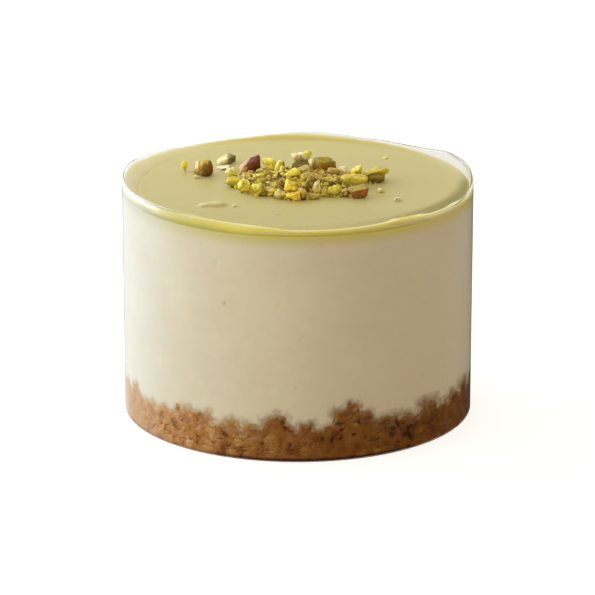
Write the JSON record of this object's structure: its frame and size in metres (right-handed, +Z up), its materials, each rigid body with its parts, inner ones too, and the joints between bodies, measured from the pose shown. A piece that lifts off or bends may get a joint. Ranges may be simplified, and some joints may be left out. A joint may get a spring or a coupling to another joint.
{
  "type": "pistachio cheesecake cup",
  "caption": "Straight clear cup filled with crumb base, cheesecake and a thin pistachio glaze, chopped pistachios heaped on top.",
  "frame": {"origin": "middle of the cup's underside, on the surface that it stands on", "axes": "+Z up along the cup's axis, -Y towards the front that the picture shows, +X to its right"},
  "size_m": [0.072, 0.072, 0.0516],
  "materials": {
    "clear_plastic": "clear, thin and glossy",
    "biscuit_crumb": "coarse baked crumb, dull with a few oily bits",
    "cheesecake": "smooth and creamy, slightly translucent",
    "pistachio_glaze": "smooth and glossy, slightly translucent",
    "chopped_pistachio": "cut nut, yellow-green to olive with some brown-purple skin"
  },
  "bodies": {
    "root": {"cup": "clear_plastic", "crumb_base": "biscuit_crumb", "cheesecake_filling": "cheesecake", "pistachio_glaze": "pistachio_glaze", "pistachio_heap": "chopped_pistachio"}
  },
  "joints": []
}
